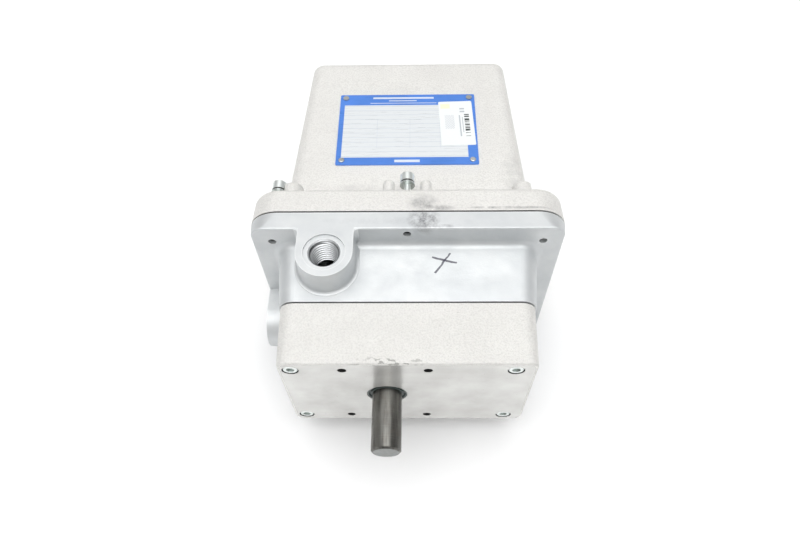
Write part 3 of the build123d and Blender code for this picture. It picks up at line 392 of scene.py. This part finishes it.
def metal(name, colour, dark, roughness, grain_mm=0.6, depth_mm=0.02, stretch=None, metallic=1.0):
    """Machined, plated or drawn metal: fine directional grain, cloudy tone and uneven gloss."""
    look = Look(name, metallic=metallic)
    grain = look.noise(grain_mm, detail=3.0, stretch=stretch)
    cloud = look.noise(grain_mm * 18, detail=4.0)
    tone = look.mix(look.ramp(cloud, 0.35, 0.7), dark, colour)
    tone = look.mix(look.ramp(grain, 0.55, 0.8, 0.0, 0.3), tone, dark)
    average = look.times(look.math("ADD", grain, cloud), 0.5)
    rough = look.ramp(average, 0.35, 0.65, roughness - 0.05, roughness + 0.1)
    return look.finish(tone, rough, look.bump(grain, depth_mm))


def cover_screw_look():
    """Bright zinc plate, painted dull and dark with shade where the thread ends inside the flange."""
    look = Look("zinc_plate_cover_screws", metallic=1.0)
    _, y, _ = look.split()
    grain = look.noise(0.5, detail=3.0)
    colour = look.mix(grain, (0.84, 0.89, 0.87), (0.93, 0.96, 0.94))
    # Painted shade: the screw tip down in the flange hole is near-black.
    inside = look.ramp(y, 90 * MM, 96 * MM, 1.0, 0.0)
    colour = look.mix(inside, colour, (0.07, 0.07, 0.07))
    return look.finish(colour, look.ramp(grain, 0.3, 0.7, 0.34, 0.44), look.bump(grain, 0.01))


def shaft_look():
    """Oiled, turned dark steel: rings from the lathe, long wear streaks and a brighter end face."""
    look = Look("turned_shaft_steel", metallic=1.0)
    _, y, _ = look.split()
    rings = look.noise(0.7, detail=3.0, stretch=(0.02, 1, 0.02))
    streak = look.noise(3.2, detail=4.0, stretch=(1, 0.10, 1))
    mottle = look.noise(5, detail=5.0, roughness=0.65)
    colour = look.mix(look.ramp(streak, 0.38, 0.66), (0.105, 0.103, 0.096), (0.235, 0.232, 0.215))
    colour = look.mix(look.ramp(mottle, 0.5, 0.72, 0.0, 0.45), colour, (0.16, 0.14, 0.12))
    colour = look.mix(look.ramp(rings, 0.55, 0.8, 0.0, 0.3), colour, (0.28, 0.275, 0.26))
    end = look.math("LESS_THAN", y, cad_low.y + 0.05 * MM)
    colour = look.mix(look.times(end, 0.7), colour, (0.26, 0.275, 0.27))
    rough = look.ramp(mottle, 0.3, 0.7, 0.30, 0.46)
    return look.finish(colour, rough, look.bump(look.math("ADD", rings, streak), 0.03))


# ==== Plastics, rubber, print ====
def plastic(name, colour, roughness=0.45, grain_mm=0.5, depth_mm=0.02):
    look = Look(name)
    grain = look.noise(grain_mm, detail=2.0)
    cloud = look.noise(9, detail=3.0)
    lighter = tuple(min(1.0, channel * 1.25 + 0.01) for channel in colour)
    tone = look.mix(look.ramp(cloud, 0.35, 0.7), colour, lighter)
    rough = look.ramp(grain, 0.3, 0.7, roughness - 0.06, roughness + 0.08)
    return look.finish(tone, rough, look.bump(grain, depth_mm))


def nameplate_look():
    """Printed plate: blue border, brushed silver field with pale rules, plain white bars for the headings."""
    look = Look("printed_nameplate", metallic=0.25)
    x, y, _ = look.split()
    px = look.math("SUBTRACT", x, NAMEPLATE_CENTRE[0] * MM)
    py = look.math("SUBTRACT", y, NAMEPLATE_CENTRE[1] * MM)

    def window(x_span, y_span):
        return look.window(px, py, x_span, y_span, 0.12)

    brush = look.noise(0.5, detail=2.0, stretch=(0.03, 1, 1))
    silver = look.mix(brush, (0.77, 0.80, 0.82), (0.81, 0.84, 0.855))
    pitch = 4.7 * MM
    line = look.math("PINGPONG", look.math("ADD", py, 200 * pitch), pitch / 2)
    silver = look.mix(look.times(look.math("LESS_THAN", line, 0.22 * MM), 0.55), silver, RULE)
    for column in (-22.0, 2.0, 24.0):
        divider = window((column - 0.2, column + 0.2), (-20.0, 10.0))
        silver = look.mix(look.times(divider, 0.35), silver, RULE)
    fade = look.noise(26, detail=4.0)
    blue = look.mix(look.ramp(fade, 0.3, 0.7), BLUE, (0.10, 0.27, 0.80))
    for x_span, y_span in (
        ((-26.0, 20.0), (31.6, 33.4)),
        ((-14.0, 7.0), (29.0, 29.9)),
        ((-28.0, 22.0), (26.6, 27.2)),
        ((-9.0, 9.0), (-34.0, -31.6)),
    ):
        blue = look.mix(look.times(window(x_span, y_span), 0.85), blue, (0.86, 0.90, 0.95))
    colour = look.mix(window(FIELD_X, FIELD_Y), blue, silver)
    rough = look.ramp(brush, 0.3, 0.7, 0.26, 0.36)
    return look.finish(colour, rough, look.bump(brush, 0.01))


def label_look():
    """Glossy paper label with plain blocks and bars."""
    look = Look("paper_label")
    x, y = look.turned(LABEL_CENTRE, LABEL_TURN)

    def window(x_span, y_span):
        return look.window(x, y, x_span, y_span, 0.1)

    fibre = look.noise(1.2, detail=4.0)
    colour = look.mix(fibre, (0.78, 0.81, 0.81), (0.84, 0.86, 0.86))
    colour = look.mix(window((-11.0, -4.0), (15.5, 20.5)), colour, (0.93, 0.91, 0.60))
    checks = look.add("ShaderNodeTexChecker")
    look.feed(checks.inputs["Vector"], look.place)
    checks.inputs["Scale"].default_value = 1100.0
    square = look.times(window((-8.5, -1.5), (-6.0, 8.5)), look.times(checks.outputs["Fac"], 0.55))
    colour = look.mix(square, colour, (0.45, 0.47, 0.52))
    bars = look.noise(0.9, detail=0.0, stretch=(0.05, 1, 1))
    strip = look.times(window((6.0, 9.5), (-14.0, 9.0)), look.math("GREATER_THAN", bars, 0.47))
    colour = look.mix(strip, colour, (0.05, 0.06, 0.06))
    for x_span, y_span in (
        ((2.0, 3.0), (-14, 8)),
        ((4.2, 4.8), (-10, 6)),
        ((3.0, 6.5), (11, 12.6)),
        ((3.0, 6.5), (14, 15.6)),
    ):
        colour = look.mix(look.times(window(x_span, y_span), 0.6), colour, (0.25, 0.28, 0.34))
    return look.finish(colour, look.ramp(fibre, 0.3, 0.7, 0.30, 0.42), look.bump(fibre, 0.01))


def dress_cad():
    dress(gear_housing_look(), "gear_housing")
    dress(cover_look(), "cover")
    dress(main_housing_look(), "main_housing")
    fibre = plastic("gasket_fibre", (0.028, 0.028, 0.03), 0.7, 0.7, 0.05)
    dress(fibre, "gear_housing_gasket", "cover_gasket")
    zinc = metal("zinc_plate", (0.88, 0.92, 0.90), (0.70, 0.75, 0.73), 0.30, 0.5, 0.01)
    dress(zinc, "corner_cap_screws", "cover_screw_washers", "pan_screws", "terminal_screws")
    dress(cover_screw_look(), "cover_screws")
    dress(zinc, "motor_through_bolts", "switch_screws", "chassis_standoffs", "pot_nut")
    dress(metal("black_oxide", (0.10, 0.10, 0.10), (0.05, 0.05, 0.05), 0.4), "cam_set_screws")
    dress(metal("drive_pin_steel", (0.70, 0.70, 0.68), (0.45, 0.45, 0.44), 0.34), "nameplate_pins")
    dress(plastic("seal_rubber", (0.018, 0.018, 0.018), 0.5), "cover_screw_seals")
    dress(plastic("lip_seal_rubber", (0.07, 0.09, 0.085), 0.38), "shaft_seal")
    dress(shaft_look(), "output_shaft")
    steel = metal("ground_gear_steel", (0.56, 0.55, 0.53), (0.38, 0.37, 0.35), 0.30, 0.5, 0.02, (1, 0.2, 1))
    dress(steel, "output_gear", "output_gear_key", "intermediate_shaft", "intermediate_wheel")
    dress(steel, "idler_pinion", "idler_wheel", "idler_stub_shaft")
    dress(steel, "motor_pinion", "motor_shaft", "motor_bearings", "pot_shaft")
    spring = metal("spring_steel", (0.40, 0.40, 0.40), (0.25, 0.25, 0.25), 0.3)
    dress(spring, "shaft_retaining_ring", "idler_retaining_ring")
    dress(metal("sintered_bronze", (0.52, 0.34, 0.16), (0.34, 0.22, 0.11), 0.42, 0.4, 0.03), "front_bushing")
    dress(metal("sintered_bronze_rear", (0.52, 0.34, 0.16), (0.34, 0.22, 0.11), 0.42), "rear_bushing")
    brass = metal("cut_brass", (0.74, 0.55, 0.26), (0.55, 0.40, 0.18), 0.28)
    dress(brass, "intermediate_bushes", "pot_gear", "pot_drive_gear", "switch_terminals")
    paint = metal("motor_paint", (0.035, 0.035, 0.04), (0.02, 0.02, 0.022), 0.34, 1.2, 0.05, metallic=0.0)
    dress(paint, "motor_case")
    die_cast = metal("die_cast_bell", (0.66, 0.67, 0.69), (0.50, 0.51, 0.53), 0.42, 1.4, 0.1)
    dress(die_cast, "motor_front_bell", "motor_rear_bell")
    lamination = metal("laminations", (0.30, 0.30, 0.32), (0.16, 0.16, 0.17), 0.4, 0.5, 0.06, (0.05, 1, 0.05))
    dress(lamination, "motor_stator", "motor_rotor")
    sheet = metal("zinc_sheet", (0.68, 0.70, 0.66), (0.52, 0.55, 0.50), 0.32, 1.6, 0.01)
    dress(sheet, "chassis_plate", "switch_bracket", "pot_bracket", "capacitor_clamp")
    can = metal("drawn_can", (0.74, 0.75, 0.77), (0.62, 0.63, 0.65), 0.26, 0.6, 0.01, (1, 0.06, 1))
    dress(can, "capacitor")
    phenolic = plastic("phenolic_black", (0.025, 0.025, 0.027), 0.42)
    dress(phenolic, "terminal_strip", "close_switch", "open_switch")
    dress(plastic("pot_shell", (0.05, 0.05, 0.055), 0.35), "potentiometer")
    dress(plastic("cam_nylon", (0.80, 0.77, 0.69), 0.4), "close_cam", "open_cam")
    dress(metal("lever_spring_steel", (0.70, 0.70, 0.69), (0.5, 0.5, 0.5), 0.25), "close_lever", "open_lever")
    dress(plastic("lead_red", (0.42, 0.03, 0.025), 0.4), "motor_leads")
    dress(plastic("lead_blue", (0.03, 0.06, 0.35), 0.4), "capacitor_leads")
    dress(nameplate_look(), "nameplate")
    dress(label_look(), "stock_label")


# ==== Pieces built here ====
def new_object(name, points, faces, material):
    """Mesh object with its points in metres, linked to the scene."""
    mesh = bpy.data.meshes.new(name)
    mesh.from_pydata(points, [], faces)
    mesh.update()
    mesh.materials.append(material)
    piece = bpy.data.objects.new(name, mesh)
    bpy.context.collection.objects.link(piece)
    return piece


def fix_to_casing(piece):
    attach(piece, "casing")


def thread_look(name, thread):
    """Cut thread in its own hole's frame: bright crests, painted shade in the grooves near the tapering root,
    and the whole colour scaled down to paint shade in small holes.
    """
    look = Look(name, metallic=1.0)
    x, y, z = look.split()
    reach = look.math("SQRT", look.math("ADD", look.times(x, x), look.times(y, y)))
    reach = look.math("SUBTRACT", reach, look.times(z, thread.taper))
    flank, root = thread.root - 0.75 * thread.depth, thread.root - 0.1 * thread.depth
    # Painted shade in the thread grooves, kept off the lead-in cone.
    groove_shade = look.ramp(reach, flank * MM, root * MM)
    lead_in = look.ramp(reach, (thread.root + 0.05) * MM, (thread.root + 0.2) * MM, 1.0, 0.0)
    groove_shade = look.times(groove_shade, lead_in)
    grain = look.noise(0.6, detail=3.0)
    # Painted shade: both tones are scaled down for the small mounting holes.
    dull = tuple(channel * thread.lightness for channel in (0.7, 0.72, 0.74))
    bright = tuple(channel * thread.lightness for channel in (0.87, 0.89, 0.9))
    colour = look.mix(grain, dull, bright)
    colour = look.mix(groove_shade, colour, tuple(0.28 * channel for channel in dull))
    return look.finish(colour, look.ramp(grain, 0.3, 0.7, 0.26, 0.38), look.bump(grain, 0.006))


def lathe(outline, segments):
    """Closed ring of faces round the local z axis from an outline of radius and height, in millimetres."""
    points, faces = [], []
    for index in range(segments):
        turn = 2 * math.pi * index / segments
        points += [(r * math.cos(turn) * MM, r * math.sin(turn) * MM, z * MM) for r, z in outline]
    count = len(outline)
    for index in range(segments):
        here, there = index * count, (index + 1) % segments * count
        for corner in range(count):
            after = (corner + 1) % count
            faces.append((here + corner, here + after, there + after, there + corner))
    return points, faces


def helix(thread, top, bottom):
    """Ridge of a right-hand V thread between two heights: one closed strip that fades out at its end."""
    profile = ((0.06, -0.05), (0.38, 0.9), (0.5, 1.0), (0.62, 0.9), (0.94, -0.05))
    count = len(profile)
    steps = int((top - bottom) / thread.pitch * thread.segments) - thread.segments
    points = []
    for step in range(steps + 1):
        turn = 2 * math.pi * step / thread.segments
        run_out = min(1.0, 4 * (steps - step) / thread.segments)
        for share, inward in profile:
            z = bottom + thread.pitch * (step / thread.segments + share)
            r = thread.root + thread.taper * z - thread.depth * inward * run_out
            points.append((r * math.cos(turn) * MM, r * math.sin(turn) * MM, z * MM))
    faces = [tuple(range(count)), tuple(reversed(range(steps * count, (steps + 1) * count)))]
    for step in range(steps):
        here, there = step * count, (step + 1) * count
        for corner in range(count):
            after = (corner + 1) % count
            faces.append((here + corner, there + corner, there + after, here + after))
    return points, faces


def hole_piece(name, shape, mouth, outward, material):
    """Puts a shape made round the local z axis into a casing hole whose mouth faces outward."""
    piece = new_object(name, *shape, material)
    turn = Vector((0, 0, 1)).rotation_difference(Vector(outward)).to_matrix().to_4x4()
    piece.matrix_world = Matrix.Translation(Vector(mouth) * MM) @ turn
    bpy.context.view_layer.update()
    fix_to_casing(piece)


def cut_thread(name, thread, mouth, outward):
    """Lead-in cone, sleeve and helical ridge that line a hole."""
    material = thread_look(f"{name}_cut", thread)
    gap = 0.02
    wide = thread.bore - gap
    cone_end = -gap - 0.8 * (wide - thread.root)
    outline = (
        (wide, -gap),
        (thread.root, cone_end),
        (thread.root - thread.taper * thread.length, -thread.length),
        (thread.bore - gap / 2, -thread.length),
        (thread.bore - gap / 2, -gap),
    )
    hole_piece(f"{name}_sleeve", lathe(outline, thread.segments), mouth, outward, material)
    ridge = helix(thread, cone_end + 0.3 * thread.pitch, -thread.length + 0.2 * thread.pitch)
    hole_piece(f"{name}_ridge", ridge, mouth, outward, material)


def make_threads():
    cut_thread("conduit_top_thread", CONDUIT_THREAD, (*CONDUIT_TOP, CONDUIT_TOP_MOUTH), (0, 0, 1))
    cut_thread("conduit_side_thread", CONDUIT_THREAD, (CONDUIT_SIDE_MOUTH, *CONDUIT_SIDE), (-1, 0, 0))
    corners = ((-1, -1), (-1, 1), (1, -1), (1, 1))
    for number, (side_x, side_z) in enumerate(corners, 1):
        mouth = (side_x * MOUNTING_HOLES[0], MOUNTING_THREAD_MOUTH, side_z * MOUNTING_HOLES[1])
        cut_thread(f"mounting_hole_thread_{number}", MOUNTING_THREAD, mouth, (0, -1, 0))


def cove(name, path, material):
    """Cast fillet along an inside corner; path holds points, in millimetres, with two outward directions."""
    arc_steps = 8
    sunk = 0.6
    points = []
    for corner, first, second in path:
        corner, first, second = Vector(corner), Vector(first), Vector(second)
        for step in range(arc_steps + 1):
            angle = math.pi / 2 * step / arc_steps
            reach_first = COVE_RADIUS * (1 - math.sin(angle))
            reach_second = COVE_RADIUS * (1 - math.cos(angle))
            points.append((corner + first * reach_first + second * reach_second) * MM)
        points.append((corner - first * sunk + second * COVE_RADIUS) * MM)
        points.append((corner - first * sunk - second * sunk) * MM)
        points.append((corner + first * COVE_RADIUS - second * sunk) * MM)
    ring = arc_steps + 4
    faces = [tuple(range(ring)), tuple(reversed(range(len(points) - ring, len(points))))]
    for start in range(0, len(points) - ring, ring):
        for index in range(ring):
            after = (index + 1) % ring
            faces.append((start + after, start + index, start + ring + index, start + ring + after))
    piece = new_object(name, points, faces, material)
    for polygon in piece.data.polygons:
        polygon.use_smooth = polygon.index > 1
    fix_to_casing(piece)


def main_top(y):
    """Height of the main housing's upper face at depth y."""
    (front, low), (back, high) = MAIN_TOP
    return low + (high - low) * (y - front) / (back - front)


def make_coves():
    """Fillets at the foot and flange corners of the upper conduit boss."""
    material = nodes["main_housing"].material_slots[0].material
    centre_x, centre_y = CONDUIT_TOP
    reach = BOSS_FOOT_RADIUS
    flange_foot = main_top(FLANGE_FRONT)
    foot = [((centre_x - reach, FLANGE_FRONT, flange_foot), (-1, 0, 0), (0, 0, 1))]
    arc_steps = 36
    for step in range(arc_steps + 1):
        angle = math.pi + math.pi * step / arc_steps
        outward = (math.cos(angle), math.sin(angle), 0)
        y = centre_y + reach * outward[1]
        foot.append(((centre_x + reach * outward[0], y, main_top(y)), outward, (0, 0, 1)))
    foot.append(((centre_x + reach, FLANGE_FRONT, flange_foot), (1, 0, 0), (0, 0, 1)))
    cove("conduit_boss_foot_fillet", foot, material)
    # The upright fillets run from just inside the top face to just below the boss face.
    heights = (flange_foot - 1, cad_high.z / MM - 0.4)
    for side, tag in ((-1, "left"), (1, "right")):
        x = centre_x + side * BOSS_RADIUS
        corner = [((x, FLANGE_FRONT, z), (0, -1, 0), (side, 0, 0)) for z in heights]
        cove(f"conduit_boss_{tag}_fillet", corner, material)


# ==== Stage, light and camera ====
def make_stage():
    look = Look("pale_floor", specular=0.2)
    tone = look.mix(look.noise(400, detail=2.0), (0.90, 0.905, 0.91), (0.93, 0.93, 0.93))
    material = look.finish(tone, 0.6)
    signs = ((-1, -1), (1, -1), (1, 1), (-1, 1))
    corners = [(x * FLOOR_REACH, y * FLOOR_REACH, cad_low.z) for x, y in signs]
    floor = new_object("floor", corners, [(0, 1, 2, 3)], material)


def area_light(name, place, target, size, power):
    light = bpy.data.lights.new(name, "AREA")
    light.shape = "RECTANGLE"
    light.size, light.size_y = size
    light.energy = power
    lamp = bpy.data.objects.new(name, light)
    bpy.context.collection.objects.link(lamp)
    lamp.location = place
    lamp.rotation_euler = (Vector(target) - Vector(place)).to_track_quat("-Z", "Y").to_euler()


def make_light():
    """A broad soft lobe of sky overhead on a dimmer surround, and one weak area light."""
    world = bpy.data.worlds.new("studio")
    bpy.context.scene.world = world
    world.use_nodes = True
    tree = world.node_tree
    background = tree.nodes["Background"]
    background.inputs[0].default_value = (1.0, 1.0, 1.0, 1.0)
    direction = tree.nodes.new("ShaderNodeTexCoord").outputs["Generated"]
    toward = tree.nodes.new("ShaderNodeVectorMath")
    toward.operation = "DOT_PRODUCT"
    toward.inputs[1].default_value = SOFTBOX_DIRECTION
    tree.links.new(direction, toward.inputs[0])
    level = tree.nodes.new("ShaderNodeMapRange")
    level.interpolation_type = "SMOOTHSTEP"
    level.inputs["From Min"].default_value = SOFTBOX_EDGE[0]
    level.inputs["From Max"].default_value = SOFTBOX_EDGE[1]
    level.inputs["To Min"].default_value = SURROUND
    level.inputs["To Max"].default_value = SOFTBOX
    tree.links.new(toward.outputs["Value"], level.inputs["Value"])
    tree.links.new(level.outputs[0], background.inputs[1])
    centre = (cad_low + cad_high) / 2
    area_light("overhead", AREA_PLACE, centre, AREA_SIZE, AREA_POWER)


def make_camera():
    """Camera solved from the photo: yaw from +Y, downward pitch and roll, in degrees."""
    yaw, pitch, roll = (math.radians(angle) for angle in CAMERA_ANGLES)
    level_forward = Vector((math.sin(yaw), math.cos(yaw), 0))
    level_right = Vector((math.cos(yaw), -math.sin(yaw), 0))
    up = Vector((0, 0, 1))
    forward = level_forward * math.cos(pitch) - up * math.sin(pitch)
    tilted = level_forward * math.sin(pitch) + up * math.cos(pitch)
    right = level_right * math.cos(roll) + tilted * math.sin(roll)
    top = tilted * math.cos(roll) - level_right * math.sin(roll)
    data = bpy.data.cameras.new("camera")
    data.sensor_width = 36.0
    data.lens = CAMERA_LENS
    data.clip_start = 0.01
    camera = bpy.data.objects.new("camera", data)
    bpy.context.collection.objects.link(camera)
    turn = Matrix((right, top, -forward)).transposed().to_4x4()
    camera.matrix_world = Matrix.Translation(CAMERA_PLACE) @ turn
    bpy.context.scene.camera = camera


make_camera()
make_stage()
make_light()
dress_cad()
make_threads()
make_coves()
bpy.context.scene.view_settings.view_transform = "Standard"
